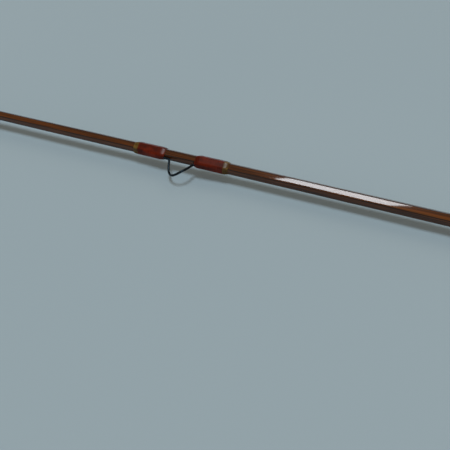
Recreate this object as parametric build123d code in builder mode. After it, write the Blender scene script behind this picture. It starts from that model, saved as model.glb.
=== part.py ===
from build123d import *
import math
import os

# A two-piece split-cane fly rod, put together and lying on its side.
# The origin is the centre of the butt cap's end face. +X points out of the butt, so the rod
# runs along -X to its tip. The guides and the reel face -Y, and +Z is up.
# Every place along the rod is given as a distance from the butt end, so x = -distance.
# The hexagonal cane has flats square to -Y and +Y, and a corner at the top and at the bottom.

# ---------------------------------------------------------------- driving dimensions, mm
rod_length = 2134.0
ferrule_mouth = 1078.0       # where the two sections meet

# Cane taper: distance from the tip, size across the flats.
taper = [(0, 1.8), (127, 2.2), (267, 2.64), (425, 3.13), (597, 3.61), (762, 4.10), (965, 4.70),
         (1067, 5.0), (1206, 5.42), (1473, 6.3), (1778, 7.4), (1860, 7.62), (2134, 7.62)]

# Reel seat
seat_radius = 8.2            # wood insert, and crests of the thread
seat_flat = 6.7              # distance from the axis to the flat that the reel's foot lies on
tenon_radius = 6.0           # wood inside the threaded barrel
cane_bore = 4.46             # drilled for the cane, through the insert and the cork
cane_butt = 12.0             # the cane ends this far inside the seat
cap_radius = 10.4
cap_length = 9.0
cap_floor = 4.0              # metal that closes the cap
barrel_end = 45.0
seat_end = 121.0
nut_start = 23.0
nut_length = 7.0
nut_radius = 10.6
hood_start = 30.3
hood_length = 15.0
hood_back = 2.0              # wall behind the hood's pocket
hood_wall = 1.1
hood_rise = 4.8              # offset of the round crown that covers the reel's foot
hood_crown = 7.3             # inner radius of that crown
slip = 0.1                   # radial gap of what slides on the seat
glue_gap = 0.02              # radial gap of what is glued on

# Grip
cork_rings = 12
cork_thickness = 12.7
grip_end = seat_end + cork_rings * cork_thickness
check_length = 2.6

# Guides: distance from the tip, size relative to the largest guide's drawing, lean of the loop.
snake_guides = [(127, 0.62, 0.0), (267, 0.68, 0.0), (425, 0.78, 0.0), (597, 0.9, 0.0),
                (762, 1.0, 10.0), (965, 1.05, 0.0), (1206, 1.1, 0.0)]
wire_radius = 0.45
loop_half = 5.05
loop_shift = 1.05            # the loop stands a little nearer the butt-side wrap
loop_height = 7.3
loop_side = 1.65             # sideways swing of the wire to each side
loop_bulge = 0.78            # lower values make a squarer arch
loop_bunch = 0.41            # how far the swing bunches the wire towards its legs
foot_lead = 0.3              # from the loop's end to the foot's full section
wire_lead = 1.0              # how far the round wire runs on into the foot
wrap_inner = 6.6
wrap_length = 14.0
thread_build = 0.42          # silk and varnish on the cane
thread_edge = 0.1            # the same, at the ends of a wrap
ramp = 1.6                   # length over which a wrap thins out
foot_tip_height = 0.2
foot_tip_width = 1.5

# Stripping guide
stripper = 1473              # from the tip
stripper_height = 11.5       # from the flat to the ring's centre
agate_outer = 6.0
agate_inner = 4.5
agate_width = 3.6
agate_round = 0.6
bezel_wall = 1.0
bezel_width = 3.0
leg_radius = 0.65
leg_foot = 13.0              # from the ring's middle to the end of each leg
stripper_foot_end = 24.0
stripper_wrap = 15.5

# Hook keeper
keeper = 300.0
keeper_wire = 0.5
keeper_hole = 1.25           # height of the ring's pivot over the flat
keeper_ring = 3.6
keeper_ring_wire = 0.4

# Ferrule
slide_radius = 2.58
slide_length = 22.0
ferrule_bore = 2.60
socket_length = 20.0         # cane inside each half
plug_length = 2.0
ferrule_wall = 0.5
welt_radius = 3.6
welt_length = 4.0
shoulder_gap = 0.3
ferrule_wrap_length = 16.0

# Tip-top
top_tube_radius = 1.5
top_tube_bore = 1.08
top_tube_length = 10.6
top_loop_radius = 2.7
top_loop_wire = 0.45
top_wrap_length = 10.0


# ---------------------------------------------------------------- the cane's section
def across_flats(d):
    """Size across the flats at a distance d from the butt end."""
    from_tip = rod_length - d
    for (a, size_a), (b, size_b) in zip(taper, taper[1:]):
        if a <= from_tip <= b:
            return size_a + (size_b - size_a) * (from_tip - a) / (b - a)
    return taper[0][1]


def corner(d, k, extra=0.0):
    """Corner k of the hexagon, k = 0 to 5 from 30 degrees, grown by extra on every flat."""
    radius = (across_flats(d) + 2 * extra) / math.sqrt(3)
    angle = math.radians(30 + 60 * k)
    return radius * math.cos(angle), radius * math.sin(angle)


def stations(start, end):
    """The ends of a stretch of cane, and the taper's stations between them."""
    inside = [rod_length - t for t, _ in taper if start < rod_length - t < end]
    return [start] + sorted(inside) + [end]


def hexagon_loft(start, end, mode=Mode.ADD):
    """The whole cane from start to end, as one tapering hexagonal bar."""
    sections = []
    for d in stations(start, end):
        with BuildSketch(Plane.YZ.offset(-d)) as section:
            Polygon(*[corner(d, k) for k in range(6)], align=None)
        sections.append(section.sketch)
    loft(sections, ruled=True, mode=mode)


# ---------------------------------------------------------------- shared shapes
def save(piece, name):
    piece.part.label = name
    export_step(piece.part, f"parts/{name}.step")


def span(start, end, outer, inner=0.0, mode=Mode.ADD):
    """A round bar or tube on the rod's axis, from start to end."""
    with BuildSketch(Plane.YZ.offset(-end)) as section:
        Circle(outer)
        if inner:
            Circle(inner, mode=Mode.SUBTRACT)
    extrude(section.sketch, amount=end - start, mode=mode)


def foot(root, tip, width, height, tip_width, tip_height, mode=Mode.ADD):
    """A guide's foot: full section for 1 mm at the root, then thinning along the flat to the tip."""
    full = root + math.copysign(1.0, tip - root)
    sections = []
    for d, w, h in ((root, width, height), (full, width, height), (tip, tip_width, tip_height)):
        flat = -across_flats(d) / 2
        with BuildSketch(Plane.YZ.offset(-d)) as section:
            Polygon((flat, -w / 2), (flat, w / 2), (flat - h, w / 2), (flat - h, -w / 2), align=None)
        sections.append(section.sketch)
    loft(sections, ruled=True, mode=mode)


def wrap_section(d, build, foot_width, foot_height):
    """Outline of a thread wrap: the hexagon grown by the thread, raised over a foot if there is one."""
    points = [corner(d, k, build) for k in range(6)]
    if foot_height:
        top = -(across_flats(d) / 2 + foot_height + build)
        points[3:3] = [(top, foot_width / 2), (top, -foot_width / 2)]
    with BuildSketch(Plane.YZ.offset(-d)) as section:
        Polygon(*points, align=None)
    return section.sketch


def thread_wrap(start, end, build, foot_width=0.0, foot_height=0.0):
    """The outside of a wrap with thinned ends. The cane and the foot are cut out by the caller."""
    lift = 0.25 * foot_height
    outline = ((start, thread_edge, lift), (start + ramp, build, foot_height),
               (end - ramp, build, foot_height), (end, thread_edge, lift))
    loft([wrap_section(d, b, foot_width, h) for d, b, h in outline], ruled=True)


def bend_radii(points, share=0.45):
    """The largest tangent arc that each corner of a polyline leaves room for."""
    radii = []
    for a, b, c in zip(points, points[1:], points[2:]):
        run_in = Vector(*b) - Vector(*a)
        run_out = Vector(*c) - Vector(*b)
        turn = math.radians(run_in.get_angle(run_out))
        radii.append(share * min(run_in.length, run_out.length) / math.tan(turn / 2))
    return radii


def wire(points, radius):
    """Round wire along a polyline with rounded corners. It starts along X."""
    with BuildLine() as path:
        FilletPolyline(*points, radius=bend_radii(points))
    with BuildSketch(Plane(origin=points[0], x_dir=(0, 1, 0), z_dir=(1, 0, 0))) as section:
        Circle(radius)
    sweep(section.sketch, path=path.line)


def straight_wire(a, b, radius):
    """A straight round wire from a to b."""
    direction = Vector(*b) - Vector(*a)
    with BuildSketch(Plane(origin=a, z_dir=direction)) as section:
        Circle(radius)
    extrude(section.sketch, amount=direction.length)


# ---------------------------------------------------------------- cane strips
def cane_strip(name, k, start, end, turned):
    """One of six strips: a tapering wedge whose tip is on the axis, with round-turned ends."""
    with BuildPart() as strip:
        for d in stations(start, end):
            with BuildSketch(Plane.YZ.offset(-d)):
                Polygon((0, 0), corner(d, k), corner(d, k + 1), align=None)
        loft(ruled=True)
        for turned_start, turned_end, radius in turned:
            span(turned_start, turned_end, cap_radius, radius, Mode.SUBTRACT)
    save(strip, name)


butt_cane_end = ferrule_mouth - slide_length - 2.0 - plug_length
female_start = butt_cane_end - socket_length
male_end = ferrule_mouth - slide_length
male_shoulder = ferrule_mouth + shoulder_gap
male_socket_end = male_shoulder + socket_length
male_bore = slide_radius - ferrule_wall
tip_cane_start = male_end + 1.2
tip_end = rod_length - 2 * top_loop_wire + 0.1
tip_cane_end = tip_end - 1.2

for k in range(6):
    cane_strip(f"butt_cane_strip_{k + 1}", k, cane_butt, butt_cane_end,
               [(female_start, butt_cane_end + 1, ferrule_bore - glue_gap)])
    cane_strip(f"tip_cane_strip_{k + 1}", k, tip_cane_start, tip_cane_end,
               [(tip_cane_start - 1, male_shoulder + 1, male_bore - glue_gap),
                (male_shoulder + 1, male_socket_end, ferrule_bore - glue_gap)])


# ---------------------------------------------------------------- reel seat
def seat_flat_cut(start, end):
    """The flat on the guide side, that the reel's foot lies on."""
    with BuildSketch(Plane.YZ.offset(-end)) as section:
        with Locations((-seat_flat - cap_radius / 2, 0)):
            Rectangle(cap_radius, 2 * cap_radius)
    extrude(section.sketch, amount=end - start, mode=Mode.SUBTRACT)


with BuildPart() as butt_cap:
    span(0, cap_length, cap_radius)
    span(cap_floor, cap_length, seat_radius + glue_gap, mode=Mode.SUBTRACT)
    fillet(butt_cap.edges().filter_by(GeomType.CIRCLE).group_by(Axis.X)[-1], radius=1.8)
save(butt_cap, "butt_cap")

with BuildPart() as threaded_barrel:
    span(cap_floor, barrel_end, seat_radius, tenon_radius + glue_gap)
    seat_flat_cut(cap_length, barrel_end)
save(threaded_barrel, "threaded_barrel")

with BuildPart() as wood_insert:
    span(cap_floor, barrel_end, tenon_radius)
    span(barrel_end, seat_end, seat_radius)
    span(cane_butt, seat_end, cane_bore, mode=Mode.SUBTRACT)
    seat_flat_cut(barrel_end, seat_end - hood_back)
save(wood_insert, "wood_insert")

with BuildPart() as lock_nut:
    span(nut_start, nut_start + nut_length, nut_radius, seat_radius + slip)
    chamfer(lock_nut.edges().filter_by(GeomType.CIRCLE).sort_by(SortBy.RADIUS)[-2:], 0.5)
save(lock_nut, "lock_nut")


def hood_outline(end, seat_gap, crown_gap):
    """Round over the seat, with a second, higher round over the reel's foot, joined by tangents."""
    with BuildSketch(Plane.YZ.offset(-end)) as outline:
        Circle(seat_radius + seat_gap)
        with Locations((-hood_rise, 0)):
            Circle(hood_crown + crown_gap)
        make_hull(outline.edges())
    return outline.sketch


def hood(name, start, back, gap):
    """A metal hood with a blind pocket for the reel's foot. back is the end that is closed."""
    end = start + hood_length
    with BuildPart() as shell:
        extrude(hood_outline(end, slip + hood_wall, hood_wall), amount=hood_length)
        pocket_end = end if back == start else end - hood_back
        extrude(hood_outline(pocket_end, gap, 0), amount=hood_length - hood_back, mode=Mode.SUBTRACT)
        span(start, end, seat_radius + gap, mode=Mode.SUBTRACT)
    save(shell, name)


hood("sliding_hood", hood_start, hood_start, slip)
hood("fixed_hood", seat_end - hood_length, seat_end, glue_gap)


# ---------------------------------------------------------------- cork grip
def grip_radius(d):
    """A cigar grip: fullest near its middle, slimmer towards the cane."""
    s = (d - seat_end) / (grip_end - seat_end)
    return (9.9 + 3.6 * math.sin(math.pi * (0.12 + 0.78 * s))) * (1 - 0.27 * s)


for n in range(cork_rings):
    ring_start = seat_end + n * cork_thickness
    ring_end = ring_start + cork_thickness
    middle = (ring_start + ring_end) / 2
    with BuildPart() as cork_ring:
        with BuildSketch(Plane.XY):
            with BuildLine():
                Line((-ring_start, cane_bore), (-ring_start, grip_radius(ring_start)))
                ThreePointArc((-ring_start, grip_radius(ring_start)), (-middle, grip_radius(middle)),
                              (-ring_end, grip_radius(ring_end)))
                Line((-ring_end, grip_radius(ring_end)), (-ring_end, cane_bore))
                Line((-ring_end, cane_bore), (-ring_start, cane_bore))
            make_face()
        revolve(axis=Axis.X)
    save(cork_ring, f"cork_ring_{n + 1:02d}")

with BuildPart() as winding_check:
    span(grip_end, grip_end + check_length, grip_radius(grip_end) - 0.4, cane_bore)
    chamfer(winding_check.edges().filter_by(GeomType.CIRCLE).group_by(Axis.X)[0].sort_by(SortBy.RADIUS)[-1], 1.6)
save(winding_check, "winding_check")


# ---------------------------------------------------------------- snake guides and their wraps
def snake_path(d, size, lean, radius):
    """Corners of the wire: out of one foot, up and over in an S, and into the other foot."""
    half = loop_half * size
    shift = loop_shift * size
    reach = wire_lead * size
    tilt = math.radians(lean)
    points = []
    for t in (0.0, 0.2, 0.4, 0.6, 0.8, 1.0):
        along = shift - half + 2 * half * (t - loop_bunch * math.sin(2 * math.pi * t) / (2 * math.pi))
        rise = loop_height * size * math.sin(math.pi * t) ** loop_bulge
        side = -loop_side * size * math.sin(2 * math.pi * t)
        base = across_flats(d - along) / 2 + radius + glue_gap
        y = -base - rise * math.cos(tilt) - side * math.sin(tilt)
        z = -rise * math.sin(tilt) + side * math.cos(tilt)
        points.append((along - d, y, z))
    first = (points[0][0] - reach, points[0][1], 0)
    last = (points[-1][0] + reach, points[-1][1], 0)
    return [first] + points + [last]


for number, (from_tip, size, lean) in enumerate(snake_guides, start=1):
    d = rod_length - from_tip
    radius = wire_radius * math.sqrt(size)
    foot_size = 2 * radius + 0.06
    roots = (d + (loop_half - loop_shift + foot_lead) * size, d - (loop_half + loop_shift + foot_lead) * size)
    tips = (d + (wrap_inner + 0.7 * wrap_length) * size, d - (wrap_inner + 0.7 * wrap_length) * size)
    wrap_spans = ((d + wrap_inner * size, d + (wrap_inner + wrap_length) * size),
                  (d - (wrap_inner + wrap_length) * size, d - wrap_inner * size))
    build = thread_build * math.sqrt(size)

    with BuildPart() as snake_guide:
        wire(snake_path(d, size, lean, radius), radius)
        for root, tip in zip(roots, tips):
            foot(root, tip, foot_size, foot_size, foot_tip_width * size, foot_tip_height)
    save(snake_guide, f"snake_guide_{number}")

    with BuildPart() as wraps:
        for start, end in wrap_spans:
            thread_wrap(start, end, build, 1.2 * size, 0.8 * foot_size)
        hexagon_loft(d - (wrap_inner + wrap_length) * size - 1, d + (wrap_inner + wrap_length) * size + 1,
                     Mode.SUBTRACT)
        for root, tip in zip(roots, tips):
            foot(root, tip, foot_size, foot_size, foot_tip_width * size, foot_tip_height, Mode.SUBTRACT)
    save(wraps, f"snake_guide_{number}_wraps")


# ---------------------------------------------------------------- stripping guide
ring_d = rod_length - stripper
ring_y = -(across_flats(ring_d) / 2 + stripper_height)
stripper_roots = (ring_d + leg_foot - 0.8, ring_d - leg_foot + 0.8)
stripper_tips = (ring_d + stripper_foot_end, ring_d - stripper_foot_end)
stripper_foot = (2.7, 1.4, 2.4, 0.25)
leg_angle = 50.0             # where the legs leave the bezel, from the side nearest the cane
leg_spread = 0.6

with BuildPart() as stripping_guide_frame:
    with BuildSketch(Plane.YZ.offset(-ring_d - bezel_width / 2)):
        with Locations((ring_y, 0)):
            Circle(agate_outer + glue_gap + bezel_wall)
    extrude(amount=bezel_width)
    for side in (-1, 1):
        for along in (-1, 1):
            bezel_radius = agate_outer + bezel_wall
            start = (along * 0.8 - ring_d, ring_y + bezel_radius * math.cos(math.radians(leg_angle)),
                     side * bezel_radius * math.sin(math.radians(leg_angle)))
            end = (along * leg_foot - ring_d, -(across_flats(ring_d) / 2 + 0.8), side * leg_spread)
            straight_wire(start, end, leg_radius)
    for root, tip in zip(stripper_roots, stripper_tips):
        foot(root, tip, *stripper_foot)
    with BuildSketch(Plane.YZ.offset(-ring_d - bezel_width)):
        with Locations((ring_y, 0)):
            Circle(agate_outer + glue_gap)
    extrude(amount=2 * bezel_width, mode=Mode.SUBTRACT)
save(stripping_guide_frame, "stripping_guide_frame")

with BuildPart() as stripping_guide_ring:
    with BuildSketch(Plane.YZ.offset(-ring_d - agate_width / 2)):
        with Locations((ring_y, 0)):
            Circle(agate_outer)
            Circle(agate_inner, mode=Mode.SUBTRACT)
    extrude(amount=agate_width)
    inner_edges = stripping_guide_ring.edges().filter_by(GeomType.CIRCLE).sort_by(SortBy.RADIUS)[:2]
    fillet(inner_edges, agate_round)
save(stripping_guide_ring, "stripping_guide_ring")

with BuildPart() as stripping_guide_wraps:
    for start in (ring_d + leg_foot + 1.0, ring_d - leg_foot - 1.0 - stripper_wrap):
        thread_wrap(start, start + stripper_wrap, thread_build, 2.4, 1.2)
    hexagon_loft(ring_d - 40, ring_d + 40, Mode.SUBTRACT)
    for root, tip in zip(stripper_roots, stripper_tips):
        foot(root, tip, *stripper_foot, Mode.SUBTRACT)
save(stripping_guide_wraps, "stripping_guide_wraps")


# ---------------------------------------------------------------- hook keeper
keeper_flat = across_flats(keeper) / 2
keeper_foot = (1.1, 1.06, 1.4, 0.2)
keeper_roots = (keeper + 2.9, keeper - 2.9)
keeper_tips = (keeper + 9.0, keeper - 9.0)
keeper_low = keeper_flat + keeper_wire + 0.03
keeper_high = keeper_flat + 2.75
arch_half = 1.6

with BuildPart() as hook_keeper_strap:
    with BuildLine():
        FilletPolyline((-3.6 - keeper, -keeper_low, 0), (-arch_half - keeper, -keeper_low, 0),
                       (-arch_half - keeper, -keeper_high, 0), (arch_half - keeper, -keeper_high, 0),
                       (arch_half - keeper, -keeper_low, 0), (3.6 - keeper, -keeper_low, 0),
                       radius=[0.7, 1.45, 1.45, 0.7])
    with BuildSketch(Plane(origin=(-3.6 - keeper, -keeper_low, 0), x_dir=(0, 1, 0), z_dir=(1, 0, 0))):
        Circle(keeper_wire)
    sweep()
    for root, tip in zip(keeper_roots, keeper_tips):
        foot(root, tip, *keeper_foot)
save(hook_keeper_strap, "hook_keeper_strap")

with BuildPart() as hook_keeper_ring:
    ring_plane = Plane(origin=(-keeper, -(keeper_flat + keeper_hole + keeper_ring), 0), z_dir=(1, 0, 0))
    with BuildSketch(Plane(origin=ring_plane.origin, x_dir=(1, 0, 0), z_dir=(0, 0, 1))):
        with Locations((0, keeper_ring)):
            Circle(keeper_ring_wire)
    revolve(axis=Axis(ring_plane.origin, (1, 0, 0)))
save(hook_keeper_ring, "hook_keeper_ring")

with BuildPart() as hook_keeper_wraps:
    for start in (keeper + 3.4, keeper - 10.4):
        thread_wrap(start, start + 7.0, thread_build, 1.2, 0.9)
    hexagon_loft(keeper - 15, keeper + 15, Mode.SUBTRACT)
    for root, tip in zip(keeper_roots, keeper_tips):
        foot(root, tip, *keeper_foot, Mode.SUBTRACT)
save(hook_keeper_wraps, "hook_keeper_wraps")


# ---------------------------------------------------------------- ferrule
ferrule_outer = ferrule_bore + ferrule_wall

with BuildPart() as female_ferrule:
    span(female_start, ferrule_mouth, ferrule_outer)
    span(ferrule_mouth - welt_length, ferrule_mouth, welt_radius)
    fillet(female_ferrule.edges().filter_by(GeomType.CIRCLE).sort_by(SortBy.RADIUS)[-2:], 0.4)
    span(female_start, ferrule_mouth, ferrule_bore, mode=Mode.SUBTRACT)
save(female_ferrule, "female_ferrule")

with BuildPart() as water_plug:
    span(butt_cane_end, butt_cane_end + plug_length, ferrule_bore - glue_gap)
save(water_plug, "water_plug")

with BuildPart() as male_ferrule:
    span(male_end, male_shoulder, slide_radius)
    span(male_shoulder, male_socket_end, ferrule_outer)
    span(tip_cane_start - 0.1, male_shoulder + 1, male_bore, mode=Mode.SUBTRACT)
    span(male_shoulder + 1, male_socket_end, ferrule_bore, mode=Mode.SUBTRACT)
save(male_ferrule, "male_ferrule")


def plain_wrap(name, start, end, build):
    """A wrap on bare cane, with no guide's foot under it."""
    with BuildPart() as wrap:
        thread_wrap(start, end, build)
        hexagon_loft(start - 1, end + 1, Mode.SUBTRACT)
    save(wrap, name)


plain_wrap("female_ferrule_wrap", female_start - ferrule_wrap_length, female_start, thread_build)
plain_wrap("male_ferrule_wrap", male_socket_end, male_socket_end + ferrule_wrap_length, thread_build)


# ---------------------------------------------------------------- tip-top
tube_start = tip_end - top_tube_length
loop_d = rod_length - top_loop_wire

with BuildPart() as tip_top_tube:
    span(tube_start, tip_end, top_tube_radius)
    span(tube_start, tip_end - 1.0, top_tube_bore, mode=Mode.SUBTRACT)
save(tip_top_tube, "tip_top_tube")

with BuildPart() as tip_top_loop:
    loop_centre = (-loop_d, -top_loop_radius, 0)
    with BuildSketch(Plane(origin=loop_centre, x_dir=(1, 0, 0), z_dir=(0, 0, 1))):
        with Locations((0, top_loop_radius)):
            Circle(top_loop_wire)
    revolve(axis=Axis(loop_centre, (1, 0, 0)))
    for side in (-1, 1):
        straight_wire((-loop_d + 0.1, -3.2, side * 2.62), (-loop_d + 7.0, -1.2, side * 0.9), 0.36)
    span(tube_start, tip_end, top_tube_radius, mode=Mode.SUBTRACT)
save(tip_top_loop, "tip_top_loop")

plain_wrap("tip_top_wrap", tube_start - top_wrap_length, tube_start, 0.25)
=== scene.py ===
import math

import bmesh
import bpy
import numpy as np
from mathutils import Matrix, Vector


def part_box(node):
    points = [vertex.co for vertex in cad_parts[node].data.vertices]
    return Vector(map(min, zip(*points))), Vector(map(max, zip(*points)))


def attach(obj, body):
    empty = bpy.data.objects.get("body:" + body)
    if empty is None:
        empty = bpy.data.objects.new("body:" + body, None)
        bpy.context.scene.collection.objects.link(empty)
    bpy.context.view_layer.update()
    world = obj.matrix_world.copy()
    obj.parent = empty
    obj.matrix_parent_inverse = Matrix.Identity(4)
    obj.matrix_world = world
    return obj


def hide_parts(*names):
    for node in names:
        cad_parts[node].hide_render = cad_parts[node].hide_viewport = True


# A split-cane fly rod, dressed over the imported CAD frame. Shapes are worked out in millimetres.
# A place along the rod is d, its distance from the butt end, so x = -d. The guides face -Y.
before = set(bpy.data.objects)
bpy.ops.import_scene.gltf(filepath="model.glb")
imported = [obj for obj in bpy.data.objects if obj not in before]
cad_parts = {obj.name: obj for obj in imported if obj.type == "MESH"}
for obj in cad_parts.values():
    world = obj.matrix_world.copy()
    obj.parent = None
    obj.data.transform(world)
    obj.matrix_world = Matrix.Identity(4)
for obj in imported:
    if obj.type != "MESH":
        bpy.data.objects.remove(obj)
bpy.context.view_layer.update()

MM = 0.001
TURN = 2 * math.pi
SAME_PLACE = 1e-7  # metres between points that are merged into one


def reach(node):
    """Where a CAD node starts and ends along the rod, as distances from the butt, in mm."""
    low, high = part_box(node)
    return -high.x / MM, -low.x / MM


# -------- the cane's section
TAPER = [(0, 1.8), (127, 2.2), (267, 2.64), (425, 3.13), (597, 3.61), (762, 4.10), (965, 4.70),
         (1067, 5.0), (1206, 5.42), (1473, 6.3), (1778, 7.4), (1860, 7.62), (2134, 7.62)]
ROD = 2134.0
TAPER_D = np.array([ROD - t for t, _ in reversed(TAPER)])
TAPER_SIZE = np.array([size for _, size in reversed(TAPER)])


def flats(d):
    """Size of the cane across its flats."""
    return np.interp(d, TAPER_D, TAPER_SIZE)


def twist(d):
    """Slow turn of the whole section, in radians, as heat-treated cane keeps a little of it."""
    return math.radians(0.55) * np.sin(np.asarray(d, float) / 61.0 + 0.4)


# -------- noise, the same on every run
HASH_X, HASH_Y, HASH_Z = 374761393, 668265263, 2147483647
HASH_SEED, HASH_MIX, HASH_KEPT = 1442695041, 1274126177, 0xFFFFFF


def lattice(ix, iy, iz, seed):
    """A fixed pseudo-random value from 0 to 1 for each lattice point."""
    h = ix * HASH_X + iy * HASH_Y + iz * HASH_Z + seed * HASH_SEED
    h = (h ^ (h >> 13)) * HASH_MIX
    h = h ^ (h >> 16)
    return (h & HASH_KEPT) / float(HASH_KEPT)


def noise(points, size, seed=0):
    """Smooth value noise from 0 to 1 with cells of the given size in mm."""
    p = np.asarray(points, float) / np.asarray(size, float)
    base = np.floor(p).astype(np.int64)
    f = p - base
    f = f * f * (3 - 2 * f)
    total = 0.0
    for corner in np.ndindex(2, 2, 2):
        weight = np.where(corner, f, 1 - f).prod(axis=-1)
        total = total + weight * lattice(*np.moveaxis(base + corner, -1, 0), seed)
    return total


# -------- mesh building
def grid(points, close_rows, close_columns):
    """Faces between the rows and columns of a (rows, columns, 3) array of points."""
    rows, columns = points.shape[:2]
    index = np.arange(rows * columns).reshape(rows, columns)
    if close_rows:
        index = np.vstack([index, index[:1]])
    if close_columns:
        index = np.hstack([index, index[:, :1]])
    quads = np.stack([index[:-1, :-1], index[:-1, 1:], index[1:, 1:], index[1:, :-1]], axis=-1)
    return points.reshape(-1, 3), quads.reshape(-1, 4), np.zeros((0, 3), int)


def skin(rings):
    """A closed skin over a row of rings, with a fan of triangles at each end."""
    points, quads, _ = grid(rings, False, True)
    count = rings.shape[1]
    around = np.arange(count)
    fans = []
    for first, centre in ((0, len(points)), (len(points) - count, len(points) + 1)):
        after = (around + 1) % count
        fans.append(np.stack([first + around, first + after, np.full(count, centre)], axis=-1))
    points = np.vstack([points, rings[0].mean(axis=0), rings[-1].mean(axis=0)])
    return points, quads, np.vstack(fans)


def lathe(d, r, centre_y=0.0, closed=True):
    """A solid from profiles around an X axis. d and r hold one row for each angle."""
    steps = len(r)
    theta = np.linspace(0, TURN, steps, endpoint=False)[:, None]
    d = np.broadcast_to(d, r.shape)
    points = np.stack([-d, centre_y + r * np.cos(theta), r * np.sin(theta)], axis=-1)
    return grid(points, True, closed)


def turned(profile, steps=96, form=None, centre_y=0.0, closed=True):
    """A turned solid from a profile of (d, radius). form may change the radius by angle and d."""
    profile = np.array(profile, float)
    theta = np.linspace(0, TURN, steps, endpoint=False)[:, None]
    d = np.repeat(profile[None, :, 0], steps, axis=0)
    r = np.repeat(profile[None, :, 1], steps, axis=0)
    if form:
        r = form(theta, d, r)
    return lathe(d, r, centre_y, closed)


def torus(d, mean, wire, sides, centre_y):
    """A ring of round wire round an X axis."""
    circle = [(d + wire * math.cos(a), mean + wire * math.sin(a))
              for a in np.linspace(0, TURN, sides, endpoint=False)]
    return turned(circle, 96, centre_y=centre_y)


def soften(corners, steps=4, closed=True):
    """A profile with rounded corners, from (d, radius, rounding) for each corner."""
    out = []
    count = len(corners)
    for i, (d, r, rounding) in enumerate(corners):
        here = np.array([d, r], float)
        if not rounding or (not closed and i in (0, count - 1)):
            out.append(here)
            continue
        before = np.array(corners[i - 1][:2], float) - here
        after = np.array(corners[(i + 1) % count][:2], float) - here
        a = here + before / np.linalg.norm(before) * rounding
        b = here + after / np.linalg.norm(after) * rounding
        for t in np.linspace(0, 1, steps + 1):
            out.append((1 - t) ** 2 * a + 2 * t * (1 - t) * here + t ** 2 * b)
    return out


def mirrored(middle, corners):
    """A closed outline that is the same on both sides of its middle, from (offset, radius, rounding)."""
    return ([(middle - out, r, rounding) for out, r, rounding in corners]
            + [(middle + out, r, rounding) for out, r, rounding in corners[::-1]])


def refine(profile, step, low=-np.inf, high=np.inf):
    """The same profile with long runs between low and high cut into short ones."""
    out = []
    for a, b in zip(profile, profile[1:]):
        out.append(a)
        length = abs(b[0] - a[0])
        if length > step and min(a[0], b[0]) >= low and max(a[0], b[0]) <= high:
            for i in range(1, int(length / step)):
                out.append(a + (b - a) * i / int(length / step))
    return out + [profile[-1]]


def smooth_path(points, spacing, passes):
    """An evenly spaced path through points, with its bends eased."""
    points = np.array(points, float)
    along = np.concatenate([[0], np.cumsum(np.linalg.norm(np.diff(points, axis=0), axis=1))])
    count = max(int(along[-1] / spacing), 8)
    even = np.linspace(0, along[-1], count)
    path = np.stack([np.interp(even, along, points[:, i]) for i in range(points.shape[1])], axis=-1)
    for _ in range(passes):
        path[1:-1] = 0.25 * path[:-2] + 0.5 * path[1:-1] + 0.25 * path[2:]
    return path


def tube(path, half_wide, half_high, sides=20, power=2.0):
    """A wire along a path. Its section is a superellipse, level at both ends of the wire."""
    path = np.asarray(path, float)
    tangent = np.gradient(path, axis=0)
    tangent /= np.linalg.norm(tangent, axis=1)[:, None]
    level = np.array([0.0, 0.0, 1.0])
    side, carried, rings = level, [], []
    for t in tangent:
        side = side - t * side.dot(t)
        side /= np.linalg.norm(side)
        carried.append(side)
    # Bends turn the section as it's carried along, so the middle fifth of the wire turns it back.
    lost = math.atan2(np.cross(side, level).dot(t), side.dot(level - t * level.dot(t)))
    undo = lost * np.clip((np.linspace(0, 1, len(path)) - 0.4) / 0.2, 0, 1)
    wide = np.broadcast_to(half_wide, len(path))
    high = np.broadcast_to(half_high, len(path))
    angle = np.linspace(0, TURN, sides, endpoint=False)
    ca, sa = np.cos(angle), np.sin(angle)
    ce = np.sign(ca) * np.abs(ca) ** (2 / power)
    se = np.sign(sa) * np.abs(sa) ** (2 / power)
    for i, t in enumerate(tangent):
        side = carried[i] * math.cos(undo[i]) + np.cross(t, carried[i]) * math.sin(undo[i])
        up = np.cross(t, side)
        rings.append(path[i] + np.outer(ce * wide[i], side) + np.outer(se * high[i], up))
    return skin(np.array(rings))


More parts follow.
